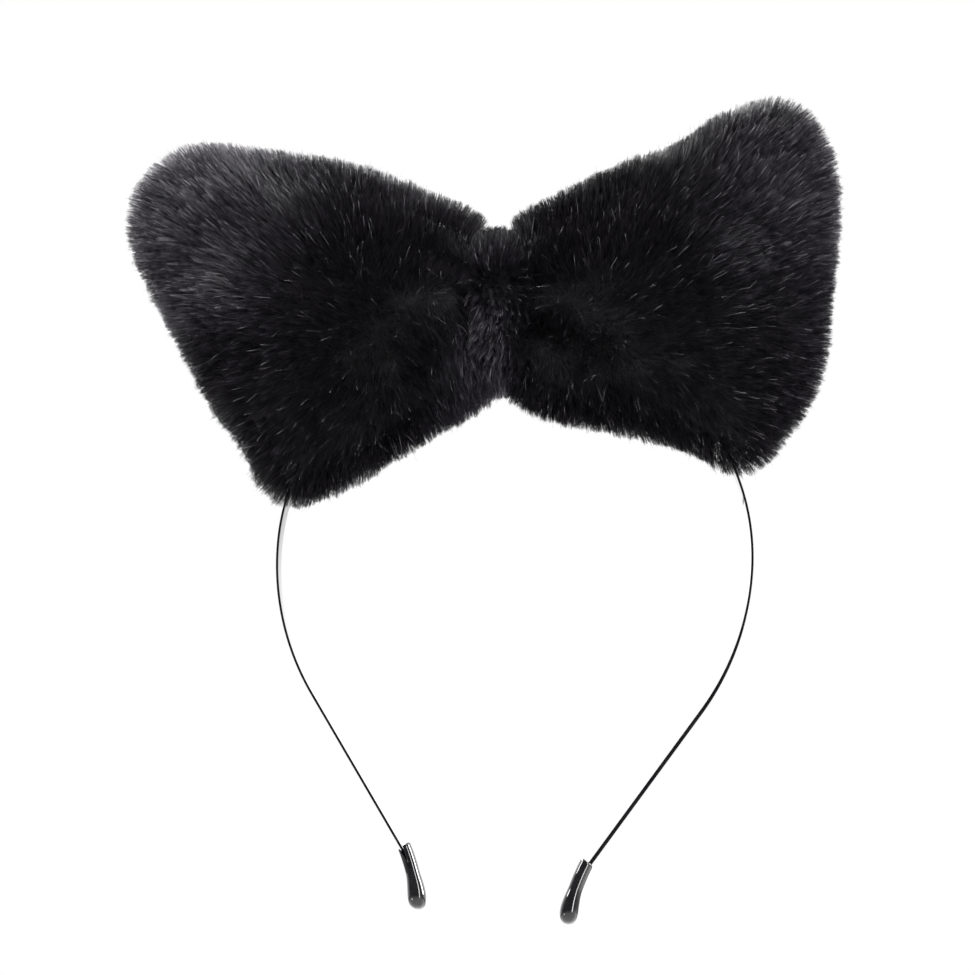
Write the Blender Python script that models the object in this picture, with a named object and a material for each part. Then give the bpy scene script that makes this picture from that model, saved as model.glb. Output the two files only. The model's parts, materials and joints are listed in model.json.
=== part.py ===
"""Fur bow-ears on a sprung steel headband, in metres.

Frame: X runs along the bow, Y from front to back, Z up.
The origin is the middle of the flat underside of the knot, which rests on the head.
The bow is symmetric about X = 0. The band is turned a little under it, about the arch's centre.
"""

import math

import bmesh
import bpy
from mathutils import Vector

# Steel strip
STRIP_WIDTH = 0.0060
STRIP_THICKNESS = 0.0007
STRIP_CHAMFER = 0.0001
CROWN_HEIGHT = 0.0180
ARCH_RADIUS = 0.0672
BAND_TURN = math.radians(6.0)
LEG_BEND_RADIUS = 0.0759
LEG_LEAN = math.radians(34.0)
LEG_STRAIGHT = 0.0508
BAND_SHIFT = 0.0012
FLEX_GAP = 0.0006

# Moulded end caps
CAP_LENGTH = 0.0174
CAP_TIP_LEAN = math.radians(2.0)
CAP_MOUTH_THICKNESS = 0.0040
CAP_MOUTH_WIDTH = 0.0080
CAP_WAIST_THICKNESS = 0.0042
CAP_BULB_THICKNESS = 0.0052
CAP_BULB_WIDTH = 0.0086
CAP_LIP = 0.0003
STRIP_IN_CAP = 0.0100

# Knot between the two ears
WRAP_HALF_LENGTH = 0.0055
WRAP_HALF_DEPTH = 0.0125
WRAP_TOP = 0.0470
WRAP_EDGE_ROUND = 0.0018
CORE_HALF_DEPTH = 0.0080
CORE_HALF_HEIGHT = 0.0175
CORE_MIDDLE_HEIGHT = 0.0230
WAIST_DEPTH = 0.0018
WAIST_HALF_LENGTH = 0.0027
THREAD_RADIUS = 0.0005
THREAD_TURNS = 3
THREAD_PITCH = 0.0013

# Ears
EAR_START = 0.0090
EAR_HALF_DEPTH = 0.0170
PANEL_THICKNESS = 0.0030
EAR_MIDDLE = (0.0560, 0.0080)
EAR_RINGS = 8
EAR_SEGMENTS = 56
EAR_TILT = math.radians(18.0)
# Outline of one ear in the bow's plane, X then height above the crown of the strip.
EAR_OUTLINE = (
    (0.0000, 0.0290),
    (0.0140, 0.0370),
    (0.0300, 0.0450),
    (0.0465, 0.0510),
    (0.0645, 0.0570),
    (0.0800, 0.0615),
    (0.0930, 0.0590),
    (0.1005, 0.0480),
    (0.1010, 0.0340),
    (0.0970, 0.0200),
    (0.0910, 0.0000),
    (0.0835, -0.0200),
    (0.0750, -0.0340),
    (0.0670, -0.0450),
    (0.0580, -0.0455),
    (0.0450, -0.0385),
    (0.0280, -0.0305),
    (0.0120, -0.0230),
    (0.0000, -0.0170),
)

# Fabric sleeve that holds the strip inside each ear
SLEEVE_START = math.radians(9.0)
SLEEVE_END = math.radians(63.0)
SLEEVE_WALL = 0.0007
GRIP_START = math.radians(8.0)
GRIP_END = math.radians(67.0)

# Clearances
GAP = 0.0003
RUN_GAP = 0.0006
ARC_STEP = math.radians(3.0)

ARCH_CENTRE = Vector((0.0, 0.0, CROWN_HEIGHT - ARCH_RADIUS))


def clear_scene():
    for old in list(bpy.data.objects):
        bpy.data.objects.remove(old, do_unlink=True)


def make_material(name, colour, roughness, metallic):
    material = bpy.data.materials.new(name)
    material.use_nodes = True
    shader = material.node_tree.nodes["Principled BSDF"]
    shader.inputs["Base Color"].default_value = (colour[0], colour[1], colour[2], 1.0)
    shader.inputs["Roughness"].default_value = roughness
    shader.inputs["Metallic"].default_value = metallic
    material.diffuse_color = (colour[0], colour[1], colour[2], 1.0)
    return material


def add_mesh(name, points, faces, material=None):
    mesh = bpy.data.meshes.new(name)
    mesh.from_pydata([tuple(point) for point in points], [], faces)
    shape = bmesh.new()
    shape.from_mesh(mesh)
    bmesh.ops.recalc_face_normals(shape, faces=shape.faces)
    shape.to_mesh(mesh)
    shape.free()
    mesh.shade_smooth()
    mesh.set_sharp_from_angle(angle=math.radians(40.0))
    if material is not None:
        mesh.materials.append(material)
    made = bpy.data.objects.new(name, mesh)
    bpy.context.scene.collection.objects.link(made)
    return made


def loft(name, rings, material=None):
    """Closed body through rings that all hold the same number of points."""
    count = len(rings[0])
    points = [point for ring in rings for point in ring]
    faces = []
    for station in range(len(rings) - 1):
        low = station * count
        high = low + count
        for index in range(count):
            after = (index + 1) % count
            faces.append((low + index, low + after, high + after, high + index))
    faces.append(tuple(range(count)))
    last = (len(rings) - 1) * count
    faces.append(tuple(range(last + count - 1, last - 1, -1)))
    return add_mesh(name, points, faces, material)


def add_box(name, low, high):
    rings = []
    for x in (low[0], high[0]):
        rings.append(
            (
                Vector((x, low[1], low[2])),
                Vector((x, high[1], low[2])),
                Vector((x, high[1], high[2])),
                Vector((x, low[1], high[2])),
            )
        )
    return loft(name, rings)


def as_cutter(shape):
    shape.hide_render = True
    shape.display_type = "WIRE"
    return shape


def boolean(target, operation, cutter):
    modifier = target.modifiers.new(operation.lower(), "BOOLEAN")
    modifier.operation = operation
    modifier.solver = "EXACT"
    modifier.object = as_cutter(cutter)


# Paths of the strip


def arch_station(angle):
    """Point on the arch and its outward direction, at an angle from straight up towards +X."""
    outward = Vector((math.sin(angle), 0.0, math.cos(angle)))
    return ARCH_CENTRE + outward * ARCH_RADIUS, outward


def turn_with_band(point):
    """Turns a point from the band's own upright position to its place under the bow."""
    x = point.x * math.cos(BAND_TURN) + point.z * math.sin(BAND_TURN)
    z = point.z * math.cos(BAND_TURN) - point.x * math.sin(BAND_TURN)
    return Vector((x, point.y, z))


BEND_LENGTH = LEG_BEND_RADIUS * LEG_LEAN
CAP_BEND_RADIUS = CAP_LENGTH / (LEG_LEAN - CAP_TIP_LEAN)


def straight_length(side):
    """Length of a leg's straight stretch: the bow sits a little off the middle of the band."""
    return LEG_STRAIGHT + side * BAND_SHIFT


def mouth_length(side):
    """Where a leg's cap begins, measured down from the widest point."""
    return BEND_LENGTH + straight_length(side)


def leg_station(side, length):
    """Point on a leg's centre line and its outward direction. side is 1 for +X and -1 for -X."""
    lean = min(length / LEG_BEND_RADIUS, LEG_LEAN)
    x = ARCH_RADIUS - LEG_BEND_RADIUS + LEG_BEND_RADIUS * math.cos(lean)
    z = -LEG_BEND_RADIUS * math.sin(lean)
    if length < 0.0:
        x = ARCH_RADIUS
        z = -length
        lean = 0.0
    straight = min(max(length - BEND_LENGTH, 0.0), straight_length(side))
    x -= straight * math.sin(LEG_LEAN)
    z -= straight * math.cos(LEG_LEAN)
    in_cap = max(length - mouth_length(side), 0.0)
    if in_cap > 0.0:
        lean = LEG_LEAN - in_cap / CAP_BEND_RADIUS
        x -= CAP_BEND_RADIUS * (math.cos(lean) - math.cos(LEG_LEAN))
        z += CAP_BEND_RADIUS * (math.sin(lean) - math.sin(LEG_LEAN))
    point = turn_with_band(Vector((side * x, 0.0, z))) + ARCH_CENTRE
    outward = turn_with_band(Vector((side * math.cos(lean), 0.0, -math.sin(lean))))
    return point, outward


def strip_ring(point, outward, half_width, half_thickness, chamfer):
    """Eight-sided section of a strip, across Y and along the outward direction."""
    across = Vector((0.0, 1.0, 0.0))
    corners = (
        (half_width, half_thickness - chamfer),
        (half_width - chamfer, half_thickness),
        (chamfer - half_width, half_thickness),
        (-half_width, half_thickness - chamfer),
        (-half_width, chamfer - half_thickness),
        (chamfer - half_width, -half_thickness),
        (half_width - chamfer, -half_thickness),
        (half_width, chamfer - half_thickness),
    )
    return [point + across * wide + outward * high for wide, high in corners]


def spread(first, last, count):
    return [first + (last - first) * index / count for index in range(count + 1)]


def arch_strip(name, start, end, half_width, half_thickness, chamfer, material=None):
    count = max(2, round((end - start) / ARC_STEP))
    rings = []
    for angle in spread(start, end, count):
        point, outward = arch_station(angle)
        rings.append(strip_ring(point, outward, half_width, half_thickness, chamfer))
    return loft(name, rings, material)


def leg_lengths(side, start, end):
    """Stations along a leg: even steps on the bends, and none inside the straight part."""
    lengths = spread(start, BEND_LENGTH, 14)
    lengths += spread(mouth_length(side), end, 6)
    return lengths


def leg_strip(name, side, material):
    rings = []
    for length in leg_lengths(side, FLEX_GAP / 2, mouth_length(side) + STRIP_IN_CAP):
        point, outward = leg_station(side, length)
        ring = strip_ring(point, outward, STRIP_WIDTH / 2, STRIP_THICKNESS / 2, STRIP_CHAMFER)
        rings.append(ring)
    return loft(name, rings, material)


# End caps


def ease(share):
    share = min(max(share, 0.0), 1.0)
    return share * share * (3.0 - 2.0 * share)


def cap_size(share):
    """Half thickness and half width of a cap at a share of its length from the mouth."""
    bulb = ease((share - 0.25) / 0.55)
    thickness = CAP_WAIST_THICKNESS + (CAP_BULB_THICKNESS - CAP_WAIST_THICKNESS) * bulb
    width = CAP_MOUTH_WIDTH + (CAP_BULB_WIDTH - CAP_MOUTH_WIDTH) * bulb
    mouth = 1.0 - ease(share / 0.12)
    thickness += (CAP_MOUTH_THICKNESS - CAP_WAIST_THICKNESS) * mouth
    return thickness / 2, width / 2


def cap_ring(side, length, half_thickness, half_width):
    point, outward = leg_station(side, length)
    ring = []
    for index in range(28):
        angle = 2.0 * math.pi * index / 28
        high = outward * half_thickness * math.cos(angle)
        wide = Vector((0.0, half_width * math.sin(angle), 0.0))
        ring.append(point + high + wide)
    return ring


def end_cap(name, side, material):
    mouth = mouth_length(side)
    rings = []
    thickness, width = cap_size(0.0)
    rings.append(cap_ring(side, mouth, thickness - CAP_LIP, width - CAP_LIP))
    for share in (0.016, 0.06, 0.12, 0.25, 0.4, 0.55, 0.68):
        thickness, width = cap_size(share)
        rings.append(cap_ring(side, mouth + share * CAP_LENGTH, thickness, width))
    round_start = 1.0 - CAP_BULB_THICKNESS * 0.5 / CAP_LENGTH
    for step in range(6):
        angle = math.radians(15.0 * step)
        share = round_start + (1.0 - round_start) * math.sin(angle)
        thickness, width = cap_size(share)
        length = mouth + share * CAP_LENGTH
        rings.append(cap_ring(side, length, thickness * math.cos(angle), width * math.cos(angle)))
    thickness, width = cap_size(1.0)
    rings.append(cap_ring(side, mouth + CAP_LENGTH, thickness * 0.08, width * 0.08))
    cap = loft(name, rings, material)
    slot = []
    for length in [mouth - 0.001] + spread(mouth, mouth + STRIP_IN_CAP + GAP, 6):
        point, outward = leg_station(side, length)
        slot.append(
            strip_ring(point, outward, STRIP_WIDTH / 2 + GAP, STRIP_THICKNESS / 2 + GAP, STRIP_CHAMFER)
        )
    boolean(cap, "DIFFERENCE", loft(name + "_slot", slot))
    return cap


# Knot


def core_ring(x, grow, count=40):
    ring = []
    for index in range(count):
        angle = 2.0 * math.pi * index / count
        y = (CORE_HALF_DEPTH + grow) * math.cos(angle)
        z = CORE_MIDDLE_HEIGHT + (CORE_HALF_HEIGHT + grow) * math.sin(angle)
        ring.append(Vector((x, y, z)))
    return ring


def wrap_ring(x, shrink, count=48):
    """Rounded section of the wrap with its underside pressed flat at Z = 0."""
    middle = WRAP_TOP * 0.47
    ring = []
    for index in range(count):
        angle = 2.0 * math.pi * index / count
        reach = (abs(math.cos(angle)) ** 2.4 + abs(math.sin(angle)) ** 2.4) ** (-1.0 / 2.4)
        y = (WRAP_HALF_DEPTH - shrink) * reach * math.cos(angle)
        z = middle + (WRAP_TOP - middle - shrink) * reach * math.sin(angle)
        ring.append(Vector((x, y, max(z, shrink * 0.5))))
    return ring


def knot_core(name, material):
    rings = [core_ring(-WRAP_HALF_LENGTH, 0.0)]
    rings.append(core_ring(-WAIST_HALF_LENGTH - 0.0004, 0.0))
    rings.append(core_ring(-WAIST_HALF_LENGTH, -WAIST_DEPTH))
    rings.append(core_ring(WAIST_HALF_LENGTH, -WAIST_DEPTH))
    rings.append(core_ring(WAIST_HALF_LENGTH + 0.0004, 0.0))
    rings.append(core_ring(WRAP_HALF_LENGTH, 0.0))
    core = loft(name, rings, material)
    reach = math.asin((WRAP_HALF_LENGTH + 0.002) / ARCH_RADIUS)
    slot = arch_strip(
        name + "_slot", -reach, reach, STRIP_WIDTH / 2 + GAP, STRIP_THICKNESS / 2 + GAP, STRIP_CHAMFER
    )
    boolean(core, "DIFFERENCE", slot)
    return core


def knot_wrap(name, material):
    rings = []
    for share in (0.0, 0.4, 0.75):
        shrink = WRAP_EDGE_ROUND * (1.0 - math.sin(math.acos(1.0 - share)))
        rings.append(wrap_ring(-WRAP_HALF_LENGTH + WRAP_EDGE_ROUND * share, shrink))
    rings.append(wrap_ring(-WRAP_HALF_LENGTH + WRAP_EDGE_ROUND, 0.0))
    rings.append(wrap_ring(WRAP_HALF_LENGTH - WRAP_EDGE_ROUND, 0.0))
    for share in (0.75, 0.4, 0.0):
        shrink = WRAP_EDGE_ROUND * (1.0 - math.sin(math.acos(1.0 - share)))
        rings.append(wrap_ring(WRAP_HALF_LENGTH - WRAP_EDGE_ROUND * share, shrink))
    wrap = loft(name, rings, material)
    hole = [core_ring(x, GAP, 48) for x in (-WRAP_HALF_LENGTH - 0.002, WRAP_HALF_LENGTH + 0.002)]
    boolean(wrap, "DIFFERENCE", loft(name + "_hole", hole))
    return wrap


def knot_thread(name, material):
    """One coil of thread wound round the waist of the core."""
    out = THREAD_RADIUS + GAP - WAIST_DEPTH
    half_depth = CORE_HALF_DEPTH + out
    half_height = CORE_HALF_HEIGHT + out
    per_turn = 32
    rings = []
    for step in range(THREAD_TURNS * per_turn + 1):
        angle = 2.0 * math.pi * step / per_turn
        x = THREAD_PITCH * (step / per_turn - THREAD_TURNS / 2)
        middle = Vector(
            (x, half_depth * math.cos(angle), CORE_MIDDLE_HEIGHT + half_height * math.sin(angle))
        )
        away = Vector((0.0, half_height * math.cos(angle), half_depth * math.sin(angle))).normalized()
        ring = []
        for side in range(6):
            around = math.radians(60.0 * side)
            along = Vector((THREAD_RADIUS * math.sin(around), 0.0, 0.0))
            ring.append(middle + away * THREAD_RADIUS * math.cos(around) + along)
        rings.append(ring)
    return loft(name, rings, material)


# Ears


def outline_points(count):
    """The ear's outline as a smooth closed curve through its corner points, evenly spaced."""
    knots = [Vector((x, 0.0, CROWN_HEIGHT + high)) for x, high in EAR_OUTLINE]
    fine = []
    total = len(knots)
    for index in range(total):
        before = knots[index - 1]
        start = knots[index]
        end = knots[(index + 1) % total]
        after = knots[(index + 2) % total]
        for step in range(12):
            t = step / 12
            fine.append(
                0.5
                * (
                    2.0 * start
                    + (end - before) * t
                    + (2.0 * before - 5.0 * start + 4.0 * end - after) * t * t
                    + (3.0 * start - before - 3.0 * end + after) * t * t * t
                )
            )
    fine.append(fine[0])
    travelled = [0.0]
    for index in range(1, len(fine)):
        travelled.append(travelled[-1] + (fine[index] - fine[index - 1]).length)
    even = []
    segment = 0
    for index in range(count):
        goal = travelled[-1] * index / count
        while travelled[segment + 1] < goal:
            segment += 1
        share = (goal - travelled[segment]) / (travelled[segment + 1] - travelled[segment])
        even.append(fine[segment].lerp(fine[segment + 1], share))
    return even


def shrunk(outline, distance):
    """The outline moved inwards by a distance."""
    result = []
    count = len(outline)
    for index in range(count):
        along = outline[(index + 1) % count] - outline[index - 1]
        inward = Vector((along.z, 0.0, -along.x)).normalized()
        result.append(outline[index] + inward * distance)
    return result


def pillow(name, side, inset, material=None):
    """Stuffed cushion over the outline, moved inwards by inset on every side."""
    outline = shrunk(outline_points(EAR_SEGMENTS), inset)
    middle = Vector((EAR_MIDDLE[0], 0.0, CROWN_HEIGHT + EAR_MIDDLE[1]))
    half_depth = EAR_HALF_DEPTH - inset
    points = []
    for face in (-1.0, 1.0):
        for ring in range(EAR_RINGS):
            if face > 0.0 and ring == 0:
                continue
            angle = 0.5 * math.pi * ring / EAR_RINGS
            for rim in outline:
                point = middle + (rim - middle) * math.cos(angle)
                point.y = face * half_depth * math.sin(angle) ** 0.9
                points.append(Vector((side * point.x, point.y, point.z)))
    front = len(points)
    points.append(Vector((side * middle.x, -half_depth, middle.z)))
    points.append(Vector((side * middle.x, half_depth, middle.z)))
    count = EAR_SEGMENTS
    faces = []
    for face in range(2):
        starts = [ring * count for ring in range(EAR_RINGS)]
        if face == 1:
            starts = [0] + [(EAR_RINGS + ring) * count for ring in range(EAR_RINGS - 1)]
        for low, high in zip(starts, starts[1:]):
            for index in range(count):
                after = (index + 1) % count
                faces.append((low + index, low + after, high + after, high + index))
        for index in range(count):
            faces.append((starts[-1] + index, starts[-1] + (index + 1) % count, front + face))
    return add_mesh(name, points, faces, material)


def tilt_axis(side):
    """Two points on the line that an ear tilts about: the chord of the strip inside the ear."""
    inner, _ = arch_station(side * GRIP_START)
    outer, _ = arch_station(side * GRIP_END)
    return inner, outer


def tunnel(name, side):
    """Room for the sleeve inside an ear, at every tilt of the ear."""
    inner, outer = tilt_axis(side)
    along = (outer - inner).normalized()
    half_width = STRIP_WIDTH / 2 + GAP + SLEEVE_WALL
    half_thickness = STRIP_THICKNESS / 2 + GAP + SLEEVE_WALL
    first = math.asin((EAR_START - 0.003) / ARCH_RADIUS)
    rings = []
    for angle in spread(first, GRIP_END + math.radians(12.0), 26):
        point, outward = arch_station(side * angle)
        offset = point - inner
        rise = (offset - along * offset.dot(along)).length
        sway = rise * math.sin(EAR_TILT)
        drop = rise * (1.0 - math.cos(EAR_TILT))
        rock = half_width * math.sin(EAR_TILT)
        wide = half_width + sway + RUN_GAP
        high = half_thickness + rock + drop + RUN_GAP
        rings.append(strip_ring(point, outward, wide, high, 0.0012))
    return loft(name, rings)


def ear(prefix, side, fur, lining):
    far = 0.13
    near = EAR_START
    low_x, high_x = sorted((side * near, side * far))
    for face, part in ((-1.0, "front"), (1.0, "back")):
        panel = pillow(f"{prefix}_ear_{part}", side, 0.0, fur)
        boolean(panel, "DIFFERENCE", pillow(f"{prefix}_{part}_hollow", side, PANEL_THICKNESS))
        low_y, high_y = sorted((face * GAP / 2, face * 0.04))
        half = add_box(f"{prefix}_{part}_half", (low_x, low_y, -0.1), (high_x, high_y, 0.12))
        boolean(panel, "INTERSECT", half)
        boolean(panel, "DIFFERENCE", tunnel(f"{prefix}_{part}_tunnel", side))
    filling = pillow(f"{prefix}_ear_filling", side, PANEL_THICKNESS + GAP, lining)
    low_x, high_x = sorted((side * (near + 0.0006), side * far))
    keep = add_box(f"{prefix}_filling_keep", (low_x, -0.04, -0.1), (high_x, 0.04, 0.12))
    boolean(filling, "INTERSECT", keep)
    boolean(filling, "DIFFERENCE", tunnel(f"{prefix}_filling_tunnel", side))


def sleeve(name, side, material):
    """Flat fabric tube round the strip."""
    start, end = sorted((side * SLEEVE_START, side * SLEEVE_END))
    inner_width = STRIP_WIDTH / 2 + GAP
    inner_thickness = STRIP_THICKNESS / 2 + GAP
    tube = arch_strip(
        name, start, end, inner_width + SLEEVE_WALL, inner_thickness + SLEEVE_WALL, 0.0004, material
    )
    over = math.radians(2.0)
    bore = arch_strip(
        name + "_bore", start - over, end + over, inner_width, inner_thickness, STRIP_CHAMFER
    )
    boolean(tube, "DIFFERENCE", bore)


clear_scene()
enamel = make_material("black_enamel_steel", (0.012, 0.012, 0.014), 0.22, 0.0)
vinyl = make_material("black_vinyl", (0.008, 0.008, 0.009), 0.12, 0.0)
ear_fur = make_material("ear_fur", (0.014, 0.013, 0.018), 0.75, 0.0)
wrap_fur = make_material("wrap_fur", (0.022, 0.020, 0.028), 0.70, 0.0)
fur_backing = make_material("fur_backing", (0.010, 0.010, 0.012), 0.95, 0.0)
wadding = make_material("wadding", (0.70, 0.69, 0.66), 1.0, 0.0)
cotton = make_material("sewing_thread", (0.02, 0.02, 0.022), 0.85, 0.0)
webbing = make_material("sleeve_fabric", (0.025, 0.025, 0.028), 0.9, 0.0)

quarter = math.pi / 2
half_gap = FLEX_GAP / 2 / ARCH_RADIUS
arch_strip(
    "band_arch",
    BAND_TURN - quarter + half_gap,
    BAND_TURN + quarter - half_gap,
    STRIP_WIDTH / 2,
    STRIP_THICKNESS / 2,
    STRIP_CHAMFER,
    enamel,
)
knot_core("knot_core", fur_backing)
knot_thread("knot_thread", cotton)
knot_wrap("knot_wrap", wrap_fur)
for label, direction in (("left", -1), ("right", 1)):
    leg_strip(f"{label}_leg_strip", direction, enamel)
    end_cap(f"{label}_end_cap", direction, vinyl)
    sleeve(f"{label}_sleeve", direction, webbing)
    ear(label, direction, ear_fur, wadding)
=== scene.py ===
"""Looks for the fur bow-ears headband: strip, moulded caps, fur-fabric ears, knot and their pile."""

import json
import math

import bmesh
import bpy
import numpy as np
from mathutils import Matrix, Vector
from mathutils.kdtree import KDTree


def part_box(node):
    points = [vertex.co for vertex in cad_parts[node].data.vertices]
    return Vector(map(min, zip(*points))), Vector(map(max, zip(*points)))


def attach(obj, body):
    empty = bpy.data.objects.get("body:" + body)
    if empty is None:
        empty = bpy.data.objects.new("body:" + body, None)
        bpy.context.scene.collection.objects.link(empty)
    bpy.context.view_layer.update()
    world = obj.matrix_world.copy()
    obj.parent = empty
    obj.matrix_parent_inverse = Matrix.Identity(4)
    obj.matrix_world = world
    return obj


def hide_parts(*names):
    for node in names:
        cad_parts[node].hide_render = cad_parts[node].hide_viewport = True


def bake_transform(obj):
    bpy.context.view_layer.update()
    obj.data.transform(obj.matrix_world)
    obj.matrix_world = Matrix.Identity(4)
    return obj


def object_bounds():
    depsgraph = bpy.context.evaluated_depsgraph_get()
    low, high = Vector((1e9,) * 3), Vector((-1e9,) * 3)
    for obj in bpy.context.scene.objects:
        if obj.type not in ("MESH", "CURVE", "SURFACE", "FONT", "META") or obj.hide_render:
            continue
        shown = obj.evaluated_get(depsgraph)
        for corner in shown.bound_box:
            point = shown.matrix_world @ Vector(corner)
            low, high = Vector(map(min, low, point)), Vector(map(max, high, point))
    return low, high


MM = 0.001

# The band below its hinges, as the CAD has it
LEG_BEND_RADIUS = 75.9 * MM
LEG_LEAN = math.radians(34.0)
LEG_STRAIGHT = 50.8 * MM
BAND_SHIFT = 1.2 * MM
STRIP_HALF_WIDTH = 3.0 * MM
STRIP_HALF_THICKNESS = 0.35 * MM
STRIP_IN_CAP = 9.5 * MM

# Moulded end caps
CAP_LENGTH = 17.4 * MM
CAP_TIP_LEAN = math.radians(2.0)
CAP_HALF_THICKNESS = 2.0 * MM
CAP_HALF_WIDTH = 4.0 * MM
BULB_EXTRA_THICKNESS = 0.6 * MM
BULB_EXTRA_WIDTH = 0.3 * MM
BULB_START = 0.40
BULB_END = 0.80
CAP_DOME_START = 0.76
CAP_WALL = 0.6 * MM
CAP_CAVITY = 10.2 * MM
CAP_SHIFT = 0.8 * MM
NOTCH_LENGTH = 4.6 * MM

# Ears: the skins stand inside the CAD's fur panels, so that the pile ends just outside them
SKIN_INSET = 5.6 * MM
SKIN_START_DEPTH = 10.5 * MM
CLOTH_THICKNESS = 0.8 * MM
WADDING_INSET = 1.5 * MM
SKIN_SEGMENTS = 96
SLICE_SHARE = 0.3
RIM_BEARINGS = 360
NECK_MIDDLE = 24.5 * MM
NECK_HALF_HEIGHT = 21.5 * MM
NECK_END = -3.0 * MM
NECK_CUT = 5.3 * MM
SKIN_RINGS = 22
GATHER_FOLDS = 3.0
GATHER_DEPTH = 1.8 * MM
TUNNEL_CLEARANCE = 1.3 * MM

# How much further than the CAD's outline each ear reaches, by direction from its middle
REACH = {
    "left": (
        (0, 1.2), (15, 3.0), (30, 7.3), (45, 5.0), (60, 0.8), (75, 1.0), (90, 2.2), (105, 3.0), (120, 1.9),
        (150, 1.0), (165, -0.5), (180, 0.0), (210, -1.6), (240, 0.0), (255, 2.0), (270, 0.8), (285, 0.0),
        (300, -4.4), (315, -2.0), (330, -1.2), (345, -0.8),
    ),
    "right": (
        (0, 0.4), (15, 0.2), (30, -3.6), (45, -4.0), (60, 3.6), (75, 1.6), (90, -1.8), (120, -1.6), (150, -2.8),
        (180, 0.0), (225, 0.4), (240, -2.2), (255, -2.8), (270, -4.5), (285, 2.5), (300, 4.0), (315, 5.0),
        (330, 4.0), (345, 1.8),
    ),
}

# Pile
EAR_STRANDS = 65000
WRAP_STRANDS = 24000
PILE_LENGTH = 9.0 * MM
WRAP_PILE_LENGTH = 7.5 * MM
STRAND_WIDTH = 0.125 * MM
GUARD_SHARE = 0.012
CLUMP_STRANDS = 13
MIDDLE_SHARE = 0.58
TIP_WIDTH = 0.45
SEAM_SHARE = 1.6
PUFF_FRAMES = 16

# The point each ear's pile is combed away from: distance from the bow's middle, and height
COMB_FROM = {"left": (30.0 * MM, 31.0 * MM), "right": (16.0 * MM, 19.0 * MM)}
COMB_DOWN = {"left": 1.1, "right": 0.6}
# Painted sheen added to the pile's shade beside and below the knot, along the outer rims and on the tops; the right
# ear's negative top value is painted shade.
KNOT_SHEEN = {"left": 0.35, "right": 0.0}
RIM_SHEEN = {"left": 0.34, "right": 0.24}
PAINTED_TOP_SHEEN_AND_SHADE = {"left": 0.12, "right": -0.18}
COMB_STRENGTH = 0.85
COMB_REACH = 42.0 * MM
# How much further from the knot an ear's pile begins at its top
NOTCH = {"left": 2.6 * MM, "right": 2.6 * MM}

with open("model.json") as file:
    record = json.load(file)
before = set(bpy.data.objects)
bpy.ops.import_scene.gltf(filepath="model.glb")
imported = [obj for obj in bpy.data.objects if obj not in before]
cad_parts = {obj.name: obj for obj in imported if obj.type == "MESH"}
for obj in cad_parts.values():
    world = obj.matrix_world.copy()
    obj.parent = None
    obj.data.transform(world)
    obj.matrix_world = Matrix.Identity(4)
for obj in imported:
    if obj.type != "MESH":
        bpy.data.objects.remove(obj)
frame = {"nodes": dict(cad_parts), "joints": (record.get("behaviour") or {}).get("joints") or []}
cad_low, cad_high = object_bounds()

# The arch spans the two leg hinges, and its centre is midway between them
HINGE = {joint["child"]: np.array(joint["pos_m"]) for joint in frame["joints"]}
ACROSS = HINGE["right_leg"] - HINGE["left_leg"]
ARCH_CENTRE = 0.5 * (HINGE["right_leg"] + HINGE["left_leg"])
ARCH_RADIUS = 0.5 * float(np.linalg.norm(ACROSS))
BAND_TURN = math.atan2(-ACROSS[2], ACROSS[0])
CROWN_HEIGHT = float(ARCH_CENTRE[2]) + ARCH_RADIUS


# Small helpers


def unit(vectors):
    length = np.linalg.norm(vectors, axis=-1, keepdims=True)
    return vectors / np.maximum(length, 1e-12)


def smooth(share):
    share = np.clip(share, 0.0, 1.0)
    return share * share * (3.0 - 2.0 * share)


def new_object(name, points, faces, material=None):
    mesh = bpy.data.meshes.new(name)
    mesh.from_pydata(np.asarray(points).tolist(), [], [list(face) for face in faces])
    mesh.shade_smooth()
    made = bpy.data.objects.new(name, mesh)
    bpy.context.scene.collection.objects.link(made)
    if material is not None:
        mesh.materials.append(material)
    return made


def repaint(made, material):
    made.data.materials.clear()
    made.data.materials.append(material)


def apply_modifiers(made):
    graph = bpy.context.evaluated_depsgraph_get()
    mesh = bpy.data.meshes.new_from_object(made.evaluated_get(graph))
    made.modifiers.clear()
    old = made.data
    made.data = mesh
    bpy.data.meshes.remove(old)
    return made


# Materials


class Nodes:
    """A material's node tree with short ways to add and link nodes."""

    def __init__(self, name):
        self.material = bpy.data.materials.new(name)
        self.material.use_nodes = True
        self.tree = self.material.node_tree
        self.shader = self.tree.nodes["Principled BSDF"]

    def add(self, kind, **settings):
        node = self.tree.nodes.new(kind)
        for key, value in settings.items():
            if key in node.inputs:
                node.inputs[key].default_value = value
            else:
                setattr(node, key, value)
        return node

    def link(self, source, target):
        self.tree.links.new(source, target)

    def set(self, **values):
        for key, value in values.items():
            self.shader.inputs[key.replace("_", " ")].default_value = value

    def ramp(self, source, stops):
        node = self.tree.nodes.new("ShaderNodeValToRGB")
        while len(node.color_ramp.elements) < len(stops):
            node.color_ramp.elements.new(0.5)
        for element, (place, colour) in zip(node.color_ramp.elements, stops):
            element.position = place
            if len(colour) == 3:
                colour = (*colour, 1.0)
            element.color = colour
        self.link(source, node.inputs["Fac"])
        return node.outputs["Color"]

    def bump(self, height, strength, distance):
        node = self.tree.nodes.new("ShaderNodeBump")
        node.inputs["Strength"].default_value = strength
        node.inputs["Distance"].default_value = distance
        self.link(height, node.inputs["Height"])
        self.link(node.outputs["Normal"], self.shader.inputs["Normal"])


def grey(value):
    return (value, value, value)


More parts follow.
